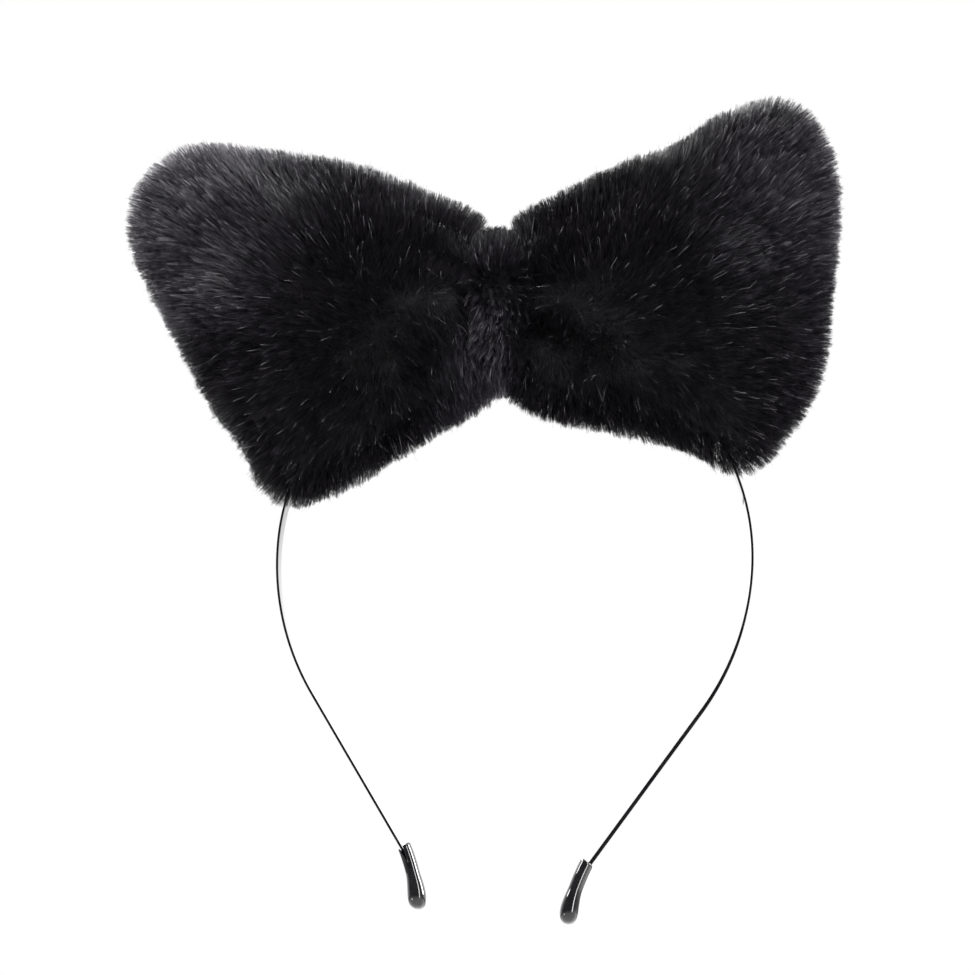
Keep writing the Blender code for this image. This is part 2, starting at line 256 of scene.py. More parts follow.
def fur_material(name, dark, mid, light):
    """Pile fibres: each strand its own shade, darker at the root than at the tip, which is painted shade deep in the
    pile and a painted sheen at the tips.
    """
    nodes = Nodes(name)
    strand = nodes.add("ShaderNodeAttribute", attribute_name="strand")
    along = nodes.add("ShaderNodeAttribute", attribute_name="along")
    # The lightest stop, which the guard hairs take, is a painted glint on them.
    stops = ((0.0, dark), (0.45, tuple(channel * 0.25 for channel in mid)), (0.85, mid), (1.0, light))
    shade = nodes.ramp(strand.outputs["Fac"], stops)
    # Painted shade at the roots, deep in the pile, and a painted sheen at the tips.
    root = nodes.ramp(along.outputs["Fac"], ((0.0, grey(0.25)), (0.6, grey(0.9)), (1.0, grey(1.3))))
    mixed = nodes.add("ShaderNodeMix", data_type="RGBA", blend_type="MULTIPLY")
    mixed.inputs["Factor"].default_value = 1.0
    nodes.link(shade, mixed.inputs["A"])
    nodes.link(root, mixed.inputs["B"])
    nodes.link(mixed.outputs["Result"], nodes.shader.inputs["Base Color"])
    gloss = nodes.ramp(strand.outputs["Fac"], ((0.0, grey(0.25)), (0.7, grey(1.0))))
    nodes.link(gloss, nodes.shader.inputs["Specular IOR Level"])
    nodes.set(Roughness=0.30, IOR=1.5)
    return nodes.material


def cloth_material(name, colour):
    """Knitted backing of the fur fabric."""
    nodes = Nodes(name)
    place = nodes.add("ShaderNodeTexCoord")
    weave = nodes.add("ShaderNodeTexVoronoi", Scale=2200.0)
    nodes.link(place.outputs["Object"], weave.inputs["Vector"])
    cloud = nodes.add("ShaderNodeTexNoise", Scale=120.0, Detail=4.0)
    nodes.link(place.outputs["Object"], cloud.inputs["Vector"])
    low = tuple(channel * 0.7 for channel in colour)
    high = tuple(channel * 1.3 for channel in colour)
    tint = nodes.ramp(cloud.outputs["Fac"], ((0.3, low), (0.7, high)))
    nodes.link(tint, nodes.shader.inputs["Base Color"])
    nodes.bump(weave.outputs["Distance"], 0.5, 0.0002)
    nodes.set(Roughness=0.9)
    return nodes.material


def enamel_material():
    """Black baked enamel on the strip: glossy on its inner face, rubbed dull outside and on its edges."""
    nodes = Nodes("strip_enamel")
    place = nodes.add("ShaderNodeTexCoord")
    cloud = nodes.add("ShaderNodeTexNoise", Scale=90.0, Detail=5.0)
    nodes.link(place.outputs["Object"], cloud.inputs["Vector"])
    tint = nodes.ramp(cloud.outputs["Fac"], ((0.35, (0.004, 0.004, 0.005)), (0.75, (0.009, 0.009, 0.010))))
    nodes.link(tint, nodes.shader.inputs["Base Color"])
    inner = nodes.add("ShaderNodeAttribute", attribute_name="inner")
    rough = nodes.ramp(inner.outputs["Fac"], ((0.2, grey(0.55)), (0.8, grey(0.09))))
    nodes.link(rough, nodes.shader.inputs["Roughness"])
    gloss = nodes.ramp(inner.outputs["Fac"], ((0.2, grey(0.0)), (0.8, grey(0.9))))
    nodes.link(gloss, nodes.shader.inputs["Specular IOR Level"])
    peel = nodes.add("ShaderNodeTexNoise", Scale=900.0, Detail=2.0)
    nodes.link(place.outputs["Object"], peel.inputs["Vector"])
    nodes.bump(peel.outputs["Fac"], 0.05, 0.0001)
    return nodes.material


def vinyl_material():
    """Glossy black vinyl of the end caps."""
    nodes = Nodes("cap_vinyl")
    place = nodes.add("ShaderNodeTexCoord")
    cloud = nodes.add("ShaderNodeTexNoise", Scale=300.0, Detail=3.0)
    nodes.link(place.outputs["Object"], cloud.inputs["Vector"])
    tint = nodes.ramp(cloud.outputs["Fac"], ((0.3, (0.005, 0.005, 0.006)), (0.7, (0.010, 0.010, 0.011))))
    nodes.link(tint, nodes.shader.inputs["Base Color"])
    rough = nodes.ramp(cloud.outputs["Fac"], ((0.3, grey(0.04)), (0.8, grey(0.08))))
    nodes.link(rough, nodes.shader.inputs["Roughness"])
    nodes.bump(cloud.outputs["Fac"], 0.05, 0.0002)
    nodes.set(IOR=1.5)
    return nodes.material


def wadding_material():
    """White polyester stuffing."""
    nodes = Nodes("wadding_fibre")
    place = nodes.add("ShaderNodeTexCoord")
    cloud = nodes.add("ShaderNodeTexNoise", Scale=400.0, Detail=8.0, Roughness=0.7)
    nodes.link(place.outputs["Object"], cloud.inputs["Vector"])
    tint = nodes.ramp(cloud.outputs["Fac"], ((0.3, (0.55, 0.54, 0.52)), (0.7, (0.82, 0.81, 0.79))))
    nodes.link(tint, nodes.shader.inputs["Base Color"])
    nodes.bump(cloud.outputs["Fac"], 0.8, 0.0006)
    nodes.set(Roughness=1.0)
    return nodes.material


# Strip


def band_point(x, z):
    """A point of the band's upright plane, relative to the arch's centre, in its place under the bow."""
    turned = (
        x * math.cos(BAND_TURN) + z * math.sin(BAND_TURN),
        0.0,
        z * math.cos(BAND_TURN) - x * math.sin(BAND_TURN),
    )
    return np.array(turned) + ARCH_CENTRE


BEND_LENGTH = LEG_BEND_RADIUS * LEG_LEAN
CAP_BEND_RADIUS = CAP_LENGTH / (LEG_LEAN - CAP_TIP_LEAN)


def straight_length(side):
    """Length of a leg's straight stretch: the bow sits a little off the middle of the band."""
    return LEG_STRAIGHT + side * BAND_SHIFT


def mouth_length(side):
    """Where a leg's cap begins, measured down from the widest point."""
    return BEND_LENGTH + straight_length(side)


def band_station(side, length):
    """Point on the band's centre line and its outward direction.

    Length runs down from the widest point, and is negative up along the arch.
    """
    if length < 0.0:
        angle = length / ARCH_RADIUS
        x = ARCH_RADIUS * math.cos(angle)
        z = -ARCH_RADIUS * math.sin(angle)
        lean = angle
    else:
        lean = min(length / LEG_BEND_RADIUS, LEG_LEAN)
        x = ARCH_RADIUS - LEG_BEND_RADIUS + LEG_BEND_RADIUS * math.cos(lean)
        z = -LEG_BEND_RADIUS * math.sin(lean)
        straight = min(max(length - BEND_LENGTH, 0.0), straight_length(side))
        x -= straight * math.sin(LEG_LEAN)
        z -= straight * math.cos(LEG_LEAN)
        in_cap = max(length - mouth_length(side), 0.0)
        if in_cap > 0.0:
            lean = LEG_LEAN - in_cap / CAP_BEND_RADIUS
            x -= CAP_BEND_RADIUS * (math.cos(lean) - math.cos(LEG_LEAN))
            z += CAP_BEND_RADIUS * (math.sin(lean) - math.sin(LEG_LEAN))
    outward = band_point(side * math.cos(lean), -math.sin(lean)) - ARCH_CENTRE
    return band_point(side * x, z), outward


def section(half_width, half_height, power, count):
    """Superellipse section as (across, outward) pairs."""
    angles = 2.0 * np.pi * np.arange(count) / count
    c, s = np.cos(angles), np.sin(angles)
    return np.stack(
        (
            half_width * np.sign(c) * np.abs(c) ** (2.0 / power),
            half_height * np.sign(s) * np.abs(s) ** (2.0 / power),
        ),
        axis=1,
    )


def tube(name, stations, sections, material):
    """Closed body through sections placed at (point, outward) stations."""
    across = np.array((0.0, 1.0, 0.0))
    rings = []
    for (point, outward), shape in zip(stations, sections):
        rings.append(point + shape[:, :1] * across + shape[:, 1:] * outward)
    count = len(rings[0])
    points = np.concatenate(rings)
    faces = []
    for low in range(0, (len(rings) - 1) * count, count):
        for index in range(count):
            after = (index + 1) % count
            faces.append((low + index, low + after, low + count + after, low + count + index))
    faces.append(tuple(range(count)))
    last = len(points) - count
    faces.append(tuple(range(last + count - 1, last - 1, -1)))
    made = new_object(name, points, faces, material)
    fix_normals(made)
    return made


def fix_normals(made):
    shape = bmesh.new()
    shape.from_mesh(made.data)
    bmesh.ops.recalc_face_normals(shape, faces=shape.faces)
    shape.to_mesh(made.data)
    shape.free()


def strip(name, side, start, end, material, count):
    lengths = np.linspace(start, end, count)
    stations = [band_station(side, length) for length in lengths]
    shape = section(STRIP_HALF_WIDTH, STRIP_HALF_THICKNESS, 12.0, 28)
    made = tube(name, stations, [shape] * count, material)
    for end_face in made.data.polygons[-2:]:
        end_face.use_smooth = False
    inner = np.where(shape[:, 1] < -0.9 * STRIP_HALF_THICKNESS, 1.0, 0.0)
    made.data.attributes.new("inner", "FLOAT", "POINT").data.foreach_set("value", np.tile(inner, count))
    return made


# Ears


def rim_of(label):
    """The CAD ear's outline as (distance from the bow's middle, height) points, its middle and its side.

    The outline is read from a slice through the front panel, clear of the strip's tunnel.
    """
    low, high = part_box(f"{label}_ear_front")
    side = 1.0 if low.x > 0.0 else -1.0
    depth = SLICE_SHARE * low.y
    shape = bmesh.new()
    shape.from_mesh(frame["nodes"][f"{label}_ear_front"].data)
    bmesh.ops.remove_doubles(shape, verts=shape.verts, dist=0.001 * MM)
    plane = bmesh.ops.bisect_plane(
        shape, geom=shape.verts[:] + shape.edges[:] + shape.faces[:], plane_co=(0, depth, 0), plane_no=(0, 1, 0)
    )
    cut = [item for item in plane["geom_cut"] if isinstance(item, bmesh.types.BMEdge)]
    ends = np.array([[tuple(vertex.co) for vertex in edge.verts] for edge in cut])
    shape.free()
    ends = np.stack((side * ends[:, :, 0], ends[:, :, 2]), axis=2)
    middle = np.array((0.5 * abs(low.x + high.x), 0.5 * (low.z + high.z)))
    bearings = 2.0 * np.pi * np.arange(RIM_BEARINGS) / RIM_BEARINGS
    rays = np.stack((np.cos(bearings), np.sin(bearings)), axis=1)
    start = ends[:, 0] - middle
    run = ends[:, 1] - ends[:, 0]
    turn = rays[:, None, 0] * run[None, :, 1] - rays[:, None, 1] * run[None, :, 0]
    turn = np.where(np.abs(turn) < 1e-12, 1e-12, turn)
    far = (start[None, :, 0] * run[None, :, 1] - start[None, :, 1] * run[None, :, 0]) / turn
    share = (start[None, :, 0] * rays[:, None, 1] - start[None, :, 1] * rays[:, None, 0]) / turn
    hit = (far > 0.0) & (share > -1e-6) & (share < 1.0 + 1e-6)
    rim = np.where(hit, far, 0.0).max(1) / math.sqrt(1.0 - SLICE_SHARE**2)
    rim = np.where(rim > 0.0, rim, np.nan)
    to_neck = np.where(rays[:, 0] < 0.0, (NECK_END - middle[0]) / np.minimum(rays[:, 0], -0.01), np.inf)
    height = np.abs(middle[1] + to_neck * rays[:, 1] - NECK_MIDDLE)
    rim = np.where(height < NECK_HALF_HEIGHT, to_neck, rim)
    known = ~np.isnan(rim)
    rim = np.interp(bearings, bearings[known], rim[known], period=2.0 * np.pi)
    places, extra = zip(*REACH[label])
    spread = [np.interp(np.degrees(bearings) + shift, places, extra, period=360.0) for shift in (-6, -3, 0, 3, 6)]
    rim += np.mean(spread, axis=0) * MM
    return evenly(middle + rim[:, None] * rays, SKIN_SEGMENTS), middle, side


def evenly(outline, count):
    """The same closed outline with its points evenly spaced."""
    closed = np.concatenate((outline, outline[:1]))
    travelled = np.concatenate(([0.0], np.cumsum(np.linalg.norm(np.diff(closed, axis=0), axis=1))))
    goals = travelled[-1] * np.arange(count) / count
    return np.stack([np.interp(goals, travelled, closed[:, axis]) for axis in range(2)], axis=1)


def inset(outline, distance):
    """A smoothed outline moved inward; it runs anticlockwise."""
    for _ in range(3):
        outline = 0.5 * outline + 0.25 * (np.roll(outline, 1, axis=0) + np.roll(outline, -1, axis=0))
    along = np.roll(outline, -1, axis=0) - np.roll(outline, 1, axis=0)
    inward = unit(np.stack((-along[:, 1], along[:, 0]), axis=1))
    return outline + inward * distance


def pillow(name, label, distance, half_depth, material):
    """A closed stuffed shape with its seam in the bow's upright plane, gathered at the knot."""
    outline, middle, side = rim_of(label)
    outline = inset(outline, distance)
    rings = []
    for ring in range(-SKIN_RINGS, SKIN_RINGS + 1):
        angle = 0.5 * np.pi * ring / (SKIN_RINGS + 1)
        flat = middle + (outline - middle) * math.cos(angle)
        bearing = np.arctan2(flat[:, 1] - middle[1], flat[:, 0] - outline[:, 0].min() + 4.0 * MM)
        near_knot = 1.0 - smooth((flat[:, 0] - 12.0 * MM) / (34.0 * MM))
        depth = np.full(SKIN_SEGMENTS, half_depth * abs(math.sin(angle)) ** 0.9)
        depth += GATHER_DEPTH * near_knot * np.cos(2.0 * GATHER_FOLDS * bearing) * abs(math.sin(2.0 * angle))
        rings.append(np.stack((side * flat[:, 0], np.sign(ring) * depth, flat[:, 1]), axis=1))
    tips = [(side * middle[0], face * half_depth, middle[1]) for face in (-1, 1)]
    points = np.concatenate(rings + [np.array(tips)])
    faces = []
    for ring in range(2 * SKIN_RINGS):
        low = ring * SKIN_SEGMENTS
        for index in range(SKIN_SEGMENTS):
            after = (index + 1) % SKIN_SEGMENTS
            faces.append((low + index, low + after, low + SKIN_SEGMENTS + after, low + SKIN_SEGMENTS + index))
    high = 2 * SKIN_RINGS * SKIN_SEGMENTS
    for index in range(SKIN_SEGMENTS):
        after = (index + 1) % SKIN_SEGMENTS
        faces.append((after, index, len(points) - 2))
        faces.append((high + index, high + after, len(points) - 1))
    made = new_object(name, points, faces, material)
    fix_normals(made)
    return made


def puff_up(made, pressure, most):
    """Inflates a closed cloth, held at the knot, with no point moving further than `most`."""
    rest = read_surface(made)[0]
    held = made.vertex_groups.new(name="held")
    for index in np.flatnonzero(np.abs(rest[:, 0]) < 11.0 * MM):
        held.add([int(index)], 1.0, "REPLACE")
    cloth = made.modifiers.new("cloth", "CLOTH")
    cloth.settings.quality = 5
    cloth.settings.mass = 0.15
    cloth.settings.tension_stiffness = 25.0
    cloth.settings.compression_stiffness = 25.0
    cloth.settings.bending_stiffness = 1.5
    cloth.settings.vertex_group_mass = "held"
    cloth.settings.use_pressure = True
    cloth.settings.uniform_pressure_force = pressure
    cloth.settings.effector_weights.gravity = 0.0
    cloth.point_cache.frame_start = 1
    cloth.point_cache.frame_end = PUFF_FRAMES
    scene = bpy.context.scene
    for number in range(1, PUFF_FRAMES + 1):
        scene.frame_set(number)
    apply_modifiers(made)
    scene.frame_set(1)
    puffed = read_surface(made)[0]
    moved = puffed - rest
    far = np.linalg.norm(moved, axis=1, keepdims=True)
    capped = rest + moved * np.minimum(1.0, most / np.maximum(far, 1e-9))
    made.data.vertices.foreach_set("co", capped.ravel())
    made.data.update()
    return made


def shrunk_copy(made, name, distance, material):
    """A copy of a closed shape with its surface moved inward."""
    copy = bpy.data.objects.new(name, made.data.copy())
    bpy.context.scene.collection.objects.link(copy)
    repaint(copy, material)
    points, normals, _ = read_surface(copy)
    copy.data.vertices.foreach_set("co", (points - normals * distance).ravel())
    copy.data.update()
    return copy


def half_of(made, name, face):
    """A copy of one side of a closed skin, as a sheet: face is -1 in front, 1 behind."""
    half = bpy.data.objects.new(name, made.data.copy())
    half.data.name = name
    bpy.context.scene.collection.objects.link(half)
    shape = bmesh.new()
    shape.from_mesh(half.data)
    other = [f for f in shape.faces if f.calc_center_median().y * face < 0.0]
    bmesh.ops.delete(shape, geom=other, context="FACES")
    shape.to_mesh(half.data)
    shape.free()
    return half


def trim_neck(made, side):
    """Cuts an ear's cloth off beside the knot's core, and closes the cut."""
    shape = bmesh.new()
    shape.from_mesh(made.data)
    everything = shape.verts[:] + shape.edges[:] + shape.faces[:]
    cut = bmesh.ops.bisect_plane(
        shape, geom=everything, plane_co=(side * NECK_CUT, 0, 0), plane_no=(-side, 0, 0), clear_outer=True
    )
    edges = [item for item in cut["geom_cut"] if isinstance(item, bmesh.types.BMEdge)]
    bmesh.ops.contextual_create(shape, geom=edges)
    shape.to_mesh(made.data)
    shape.free()


def thicken(made, thickness):
    """Gives a sheet its cloth thickness, inward."""
    solid = made.modifiers.new("thickness", "SOLIDIFY")
    solid.thickness = thickness
    solid.offset = -1.0
    return apply_modifiers(made)


def carve(made, cutter):
    cut = made.modifiers.new("tunnel", "BOOLEAN")
    cut.operation = "DIFFERENCE"
    cut.object = cutter
    apply_modifiers(made)
    made.data.shade_smooth()
    return made


# Pile


def read_surface(made):
    mesh = made.data
    mesh.calc_loop_triangles()
    points = np.empty(len(mesh.vertices) * 3)
    mesh.vertices.foreach_get("co", points)
    normals = np.empty(len(mesh.vertices) * 3)
    mesh.vertices.foreach_get("normal", normals)
    triangles = np.empty(len(mesh.loop_triangles) * 3, np.int32)
    mesh.loop_triangles.foreach_get("vertices", triangles)
    return points.reshape(-1, 3), normals.reshape(-1, 3), triangles.reshape(-1, 3)


def scatter(surface, count, rng, seam_share=0.0):
    """Random roots on a surface, by area and closer together along the seam in the plane y = 0, with their normals."""
    points, normals, triangles = surface
    corner = points[triangles]
    area = np.linalg.norm(np.cross(corner[:, 1] - corner[:, 0], corner[:, 2] - corner[:, 0]), axis=1)
    area *= 1.0 + seam_share * (1.0 - smooth(np.abs(corner[:, :, 1]).mean(1) / (5.0 * MM)))
    pick = rng.choice(len(triangles), count, p=area / area.sum())
    root = np.sqrt(rng.random(count))
    slide = rng.random(count)
    weights = np.stack((1.0 - root, root * (1.0 - slide), root * slide), axis=1)[:, :, None]
    return (points[triangles[pick]] * weights).sum(1), unit((normals[triangles[pick]] * weights).sum(1))


def nearest(points, centres):
    tree = KDTree(len(centres))
    for index, centre in enumerate(centres):
        tree.insert(centre, index)
    tree.balance()
    return np.array([tree.find(point)[1] for point in points])


def wandering(points, rng, wavelength, waves=7):
    """A smooth random vector at each point, about one long."""
    total = np.zeros((len(points), 3))
    for _ in range(waves):
        along = unit(rng.normal(size=3)) * 2.0 * np.pi / wavelength
        phase = points @ along + rng.random() * 2.0 * np.pi
        total += np.cos(phase)[:, None] * unit(rng.normal(size=3))
    return total * math.sqrt(2.0 / waves)


def grow(roots, normals, comb, rng, length):
    """Strands as an array (count, 3 points, 3), and each one's shade. comb leans them, once per strand."""
    count = len(roots)
    guard = rng.random(count) < GUARD_SHARE
    own = rng.normal(0.0, 0.09, (count, 3)) + guard[:, None] * rng.normal(0.0, 0.30, (count, 3))
    waves = np.random.default_rng(5)
    drift = 0.20 * wandering(roots, waves, 24.0 * MM) + 0.10 * wandering(roots, waves, 9.0 * MM)
    size = length * (1.0 + rng.normal(0.0, 0.06, count) + 0.10 * guard)
    size *= 1.0 + 0.06 * wandering(roots, waves, 7.0 * MM)[:, 0]
    low = unit(normals + 0.6 * comb + 0.7 * drift + own)
    high = unit(normals + 1.5 * comb + 1.4 * drift + 1.3 * own)
    middle = roots + low * size[:, None] * MIDDLE_SHARE
    tip = middle + high * size[:, None] * (1.0 - MIDDLE_SHARE)
    centres = rng.choice(count, int(count / CLUMP_STRANDS), replace=False)
    owner = centres[nearest(roots, roots[centres])]
    middle += (middle[owner] - middle) * 0.14 * ~guard[:, None]
    tip += (tip[owner] - tip) * 0.50 * ~guard[:, None]
    # A random tone per strand and per tuft; the few lighter strands and tufts, and the guard hairs at full shade, also
    # stand in for highlights on the fibres: partly real tone, partly painted highlight.
    mixed = 0.6 * rng.random(count) + 0.4 * rng.random(count)[owner]
    shade = np.where(guard, 1.0, 0.85 * mixed**2.0)
    return np.stack((roots, middle, tip), axis=1), shade


def ribbons(name, strands, shade, rng, width, material):
    """One mesh of tapered ribbons, each turned its own way, with normals that round it like a hair."""
    count = len(strands)
    run = unit(strands[:, 2] - strands[:, 0])
    across = unit(np.cross(run, rng.normal(size=(count, 3))))
    facing = np.cross(across, run)
    half = 0.5 * width * (0.75 + 0.5 * rng.random(count))[:, None]
    vertices = np.empty((count, 5, 3))
    vertices[:, 0] = strands[:, 0]
    vertices[:, 1] = strands[:, 1] - across * half
    vertices[:, 2] = strands[:, 1] + across * half
    vertices[:, 3] = strands[:, 2] - across * half * TIP_WIDTH
    vertices[:, 4] = strands[:, 2] + across * half * TIP_WIDTH
    normals = np.empty((count, 5, 3))
    normals[:, 0] = facing
    normals[:, 1] = normals[:, 3] = unit(facing - across)
    normals[:, 2] = normals[:, 4] = unit(facing + across)
    corners = np.array((0, 2, 1, 1, 2, 4, 3))
    loops = (corners[None, :] + 5 * np.arange(count)[:, None]).ravel()
    totals = np.tile((3, 4), count)
    starts = np.concatenate(([0], np.cumsum(totals)[:-1]))
    mesh = bpy.data.meshes.new(name)
    mesh.vertices.add(count * 5)
    mesh.vertices.foreach_set("co", vertices.ravel())
    mesh.loops.add(len(loops))
    mesh.loops.foreach_set("vertex_index", loops)
    mesh.polygons.add(len(totals))
    mesh.polygons.foreach_set("loop_start", starts)
    mesh.polygons.foreach_set("loop_total", totals)
    mesh.polygons.foreach_set("use_smooth", np.ones(len(totals), bool))
    mesh.update(calc_edges=True)
    mesh.normals_split_custom_set_from_vertices(normals.reshape(-1, 3))
    strand = np.repeat(shade, 5)
    along = np.tile((0.0, MIDDLE_SHARE, MIDDLE_SHARE, 1.0, 1.0), count)
    mesh.attributes.new("strand", "FLOAT", "POINT").data.foreach_set("value", strand)
    mesh.attributes.new("along", "FLOAT", "POINT").data.foreach_set("value", along)
    layer = mesh.uv_layers.new(name="OFBake")
    shift = np.tile((0.0, -0.002, 0.002, -0.002, 0.002), count)
    spread = np.stack((0.01 + 0.98 * strand + shift, 0.01 + 0.98 * along), axis=1)
    layer.data.foreach_set("uv", spread[loops].ravel())
    mesh.materials.append(material)
    made = bpy.data.objects.new(name, mesh)
    bpy.context.scene.collection.objects.link(made)
    return made


def away_from_strip(roots, normals):
    """Only the roots that aren't where the strip comes out of an ear."""
    keep = np.ones(len(roots), bool)
    for side in (-1, 1):
        for length in np.linspace(-60.0, 20.0, 161) * MM:
            centre, _ = band_station(side, length)
            off = roots - centre
            beside = np.hypot(off[:, 0], off[:, 2]) < 0.4 * MM
            keep &= ~(beside & (np.abs(off[:, 1]) < STRIP_HALF_WIDTH + 0.1 * MM))
    return roots[keep], normals[keep]


# Build

enamel = enamel_material()
vinyl = vinyl_material()
backing = cloth_material("fur_backing_cloth", (0.012, 0.012, 0.014))
webbing = cloth_material("sleeve_tape", (0.02, 0.02, 0.022))
cotton = cloth_material("binding_thread", (0.02, 0.02, 0.022))
wadding = wadding_material()
ear_fur = fur_material("ear_pile", (0.004, 0.0035, 0.0045), (0.070, 0.063, 0.078), (0.22, 0.21, 0.23))
wrap_fur = fur_material("wrap_pile", (0.004, 0.0035, 0.0045), (0.070, 0.063, 0.078), (0.22, 0.21, 0.23))

top = strip("strip_over_head", 1, -ARCH_RADIUS * math.pi + 18.0 * MM, -18.0 * MM, enamel, 90)
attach(top, "crown")
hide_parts("band_arch")



def beside_and_below(roots):
    """1 for roots beside the knot's lower half, fading to 0 further away and higher up."""
    by_knot = 1.0 - smooth((np.abs(roots[:, 0]) - 10.0 * MM) / (20.0 * MM))
    return by_knot * smooth((CROWN_HEIGHT + 14.0 * MM - roots[:, 2]) / (14.0 * MM))


def ear_comb(roots, side, label):
    """Combed away from a point beside the knot, and down beside the bottom of the knot."""
    distance, height = COMB_FROM[label]
    away = roots - np.array((side * distance, 0.0, height))
    away[:, 1] = 0.0
    far = np.linalg.norm(away, axis=1, keepdims=True)
    comb = unit(away) * COMB_STRENGTH * smooth(far / COMB_REACH)
    by_knot = 1.0 - smooth((np.abs(roots[:, 0]) - 10.0 * MM) / (20.0 * MM))
    comb[:, 2] -= COMB_DOWN[label] * beside_and_below(roots)
    comb[:, 0] *= 1.0 - 0.7 * by_knot
    return comb


def add_leg(side, label):
    leg = strip(f"{label}_strip", side, -18.0 * MM, mouth_length(side) + STRIP_IN_CAP, enamel, 90)
    start, _ = band_station(side, -18.0 * MM)
    end, _ = band_station(side, 32.0 * MM)
    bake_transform(leg)
    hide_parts(f"{label}_leg_strip")


def cap_ring(side, share, wall):
    """Station and section of an end cap, share of the way from its mouth to its tip."""
    dome = 1.0
    if share > CAP_DOME_START:
        dome = math.sqrt(max(1.0 - ((share - CAP_DOME_START) / (1.0 - CAP_DOME_START)) ** 3, 0.0))
    bulb = float(smooth((share - BULB_START) / (BULB_END - BULB_START)))
    half_width = (CAP_HALF_WIDTH + BULB_EXTRA_WIDTH * bulb) * dome - wall
    half_thickness = (CAP_HALF_THICKNESS + BULB_EXTRA_THICKNESS * bulb) * dome - wall
    point, outward = band_station(side, mouth_length(side) + share * CAP_LENGTH)
    inward = CAP_SHIFT * max(1.0 - share / 0.6, 0.0) ** 2
    return (point - outward * inward, outward), section(half_width, half_thickness, 2.8, 64)


def add_cap(side, label):
    """Moulded cap: a closed bulb at its tip, and a thin-walled pocket for the strip at its mouth."""
    shares = np.linspace(CAP_CAVITY / CAP_LENGTH, 0.012, 14)
    rings = [cap_ring(side, share, CAP_WALL) for share in shares]
    rings += [cap_ring(side, 0.0, CAP_WALL * 0.75), cap_ring(side, 0.0, CAP_WALL * 0.25)]
    rings += [cap_ring(side, share, 0.0) for share in np.linspace(0.012, CAP_DOME_START, 30)]
    domes = CAP_DOME_START + (1.0 - CAP_DOME_START) * np.sin(np.linspace(0.1, 0.5 * np.pi - 0.06, 14))
    rings += [cap_ring(side, share, 0.0) for share in domes]
    cap = tube(f"{label}_cap", [ring[0] for ring in rings], [ring[1] for ring in rings], vinyl)
    if label == "left":
        notch = cap_notch(side)
        carve(cap, notch)
        bpy.data.objects.remove(notch)
    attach(cap, f"{label}_leg")
    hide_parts(f"{label}_end_cap")


def cap_notch(side):
    """Wedge that splits a cap's front from its mouth, over the strip."""
    corners = ((-0.6 * MM, -0.7 * MM), (-0.6 * MM, 0.9 * MM), (NOTCH_LENGTH, 0.0))
    points = []
    for y in (-6.0 * MM, -0.8 * MM):
        for length, out in corners:
            point, outward = band_station(side, mouth_length(side) + length)
            points.append(point + outward * out + np.array((0.0, y, 0.0)))
    faces = [(0, 1, 2), (3, 5, 4), (0, 3, 4, 1), (1, 4, 5, 2), (2, 5, 3, 0)]
    notch = new_object("notch", points, faces, None)
    fix_normals(notch)
    return notch


def add_ear(side, label):
    skin = pillow(f"{label}_ear_skin", label, SKIN_INSET, SKIN_START_DEPTH, backing)
    puff_up(skin, 4.0, 4.0 * MM)
    lengths = np.linspace(-ARCH_RADIUS * math.pi / 2.0 + 4.0 * MM, 0.0, 60)
    hole = section(STRIP_HALF_WIDTH + TUNNEL_CLEARANCE, STRIP_HALF_THICKNESS + TUNNEL_CLEARANCE, 4.0, 20)
    cutter = tube("tunnel", [band_station(side, length) for length in lengths], [hole] * 60, None)
    stuffing = shrunk_copy(skin, f"{label}_ear_wadding", WADDING_INSET, wadding)
    for face, part in ((-1, "front"), (1, "back")):
        sheet = half_of(skin, f"{label}_ear_{part}_cloth", face)
        rng = np.random.default_rng(1000 + 10 * side + face)
        roots, normals = away_from_strip(*scatter(read_surface(sheet), EAR_STRANDS, rng, SEAM_SHARE))
        top = smooth((roots[:, 2] - CROWN_HEIGHT - 12.0 * MM) / (10.0 * MM))
        beside_knot = side * roots[:, 0] > NECK_CUT + NOTCH[label] * top
        roots, normals = roots[beside_knot], normals[beside_knot]
        comb = ear_comb(roots, side, label)
        strands, shade = grow(roots, normals, comb, rng, PILE_LENGTH)
        # Painted light on the pile: each ear's middle is painted in shade, and painted sheen is added beside and below
        # the knot and along the upper outer rim; on the tops the left ear gets painted sheen and the right painted
        # shade. Guard hairs keep their full shade in the middle.
        outer = smooth((side * roots[:, 0] - 45.0 * MM) / (35.0 * MM))
        rim = outer * smooth((roots[:, 2] - 15.0 * MM) / (20.0 * MM))
        top = smooth((normals[:, 2] - 0.1) / 0.4)
        shade = np.where(shade < 1.0, shade * (0.70 + 0.30 * outer), shade)
        shade += KNOT_SHEEN[label] * beside_and_below(roots) + RIM_SHEEN[label] * rim + PAINTED_TOP_SHEEN_AND_SHADE[label] * top
        shade = np.clip(shade, 0.0, 1.0)
        pile = ribbons(f"{label}_ear_{part}_pile", strands, shade, rng, STRAND_WIDTH, ear_fur)
        carve(thicken(sheet, CLOTH_THICKNESS), cutter)
        trim_neck(sheet, side)
        for piece in (sheet, pile):
            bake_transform(piece)
        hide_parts(f"{label}_ear_{part}")
    carve(stuffing, cutter)
    trim_neck(stuffing, side)
    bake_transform(stuffing)
    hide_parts(f"{label}_ear_filling")
    bpy.data.objects.remove(skin)
    bpy.data.objects.remove(cutter)


for side, label in ((-1, "left"), (1, "right")):
    add_leg(side, label)
    add_cap(side, label)
    repaint(frame["nodes"][f"{label}_sleeve"], webbing)
    add_ear(side, label)
repaint(frame["nodes"]["knot_core"], backing)
repaint(frame["nodes"]["knot_thread"], cotton)


